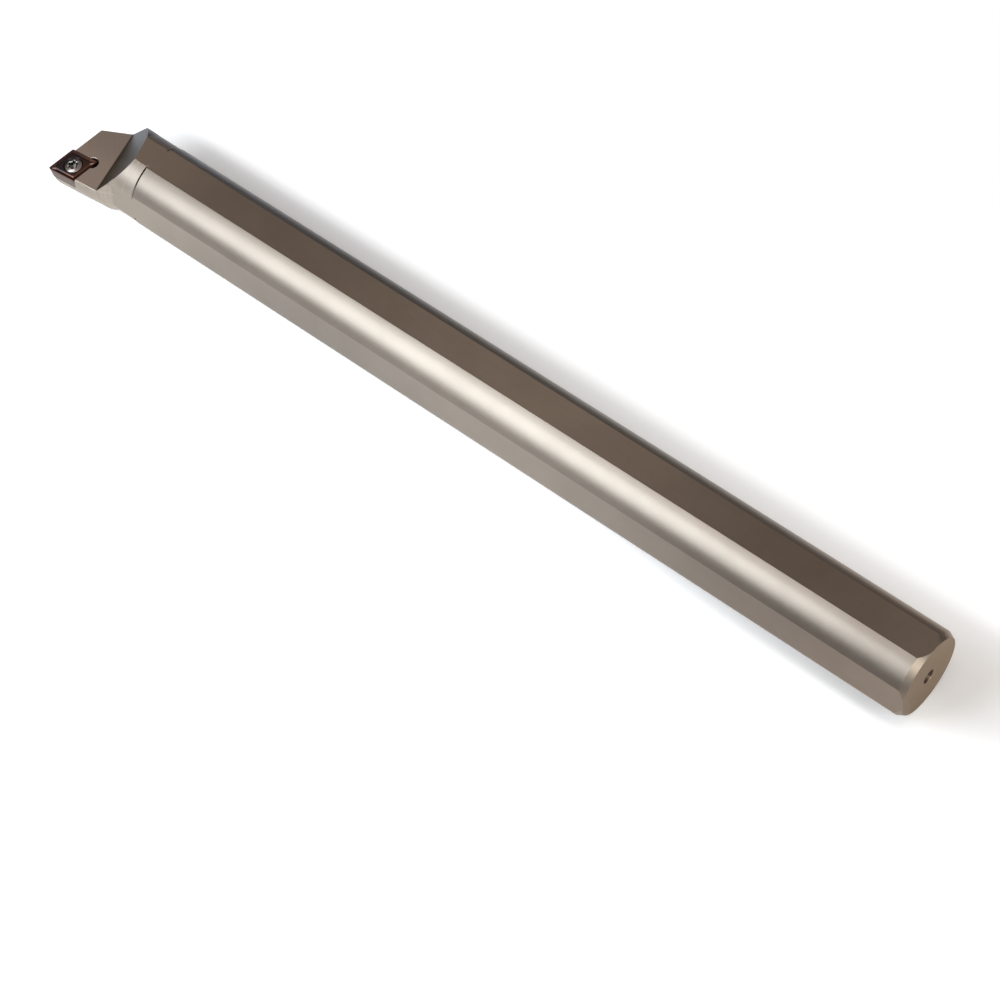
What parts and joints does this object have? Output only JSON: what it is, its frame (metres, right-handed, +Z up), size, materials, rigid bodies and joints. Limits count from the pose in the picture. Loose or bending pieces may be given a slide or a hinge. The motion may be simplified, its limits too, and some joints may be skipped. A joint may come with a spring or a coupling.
{
  "type": "indexable boring bar",
  "caption": "Steel boring bar with flats on its round shank and a screw-clamped rhombic carbide insert in a flared head, for boring on a lathe.",
  "frame": {"origin": "centre of the shank's rear end face, on the bar axis", "axes": "+X along the bar to the cutting end, +Y to the side that cuts, +Z up, square to the top flat; the cutting tip is at (0.3048, 0.015875, 0)"},
  "size_m": [0.3048, 0.0286, 0.0234],
  "materials": {
    "bar_body": "satin nickel",
    "cutting_insert": "dark brown-violet hard coating on cemented carbide",
    "insert_screw": "bright turned"
  },
  "bodies": {
    "root": {"bar_body": "bar_body", "cutting_insert": "cutting_insert", "insert_screw": "insert_screw"}
  },
  "joints": []
}
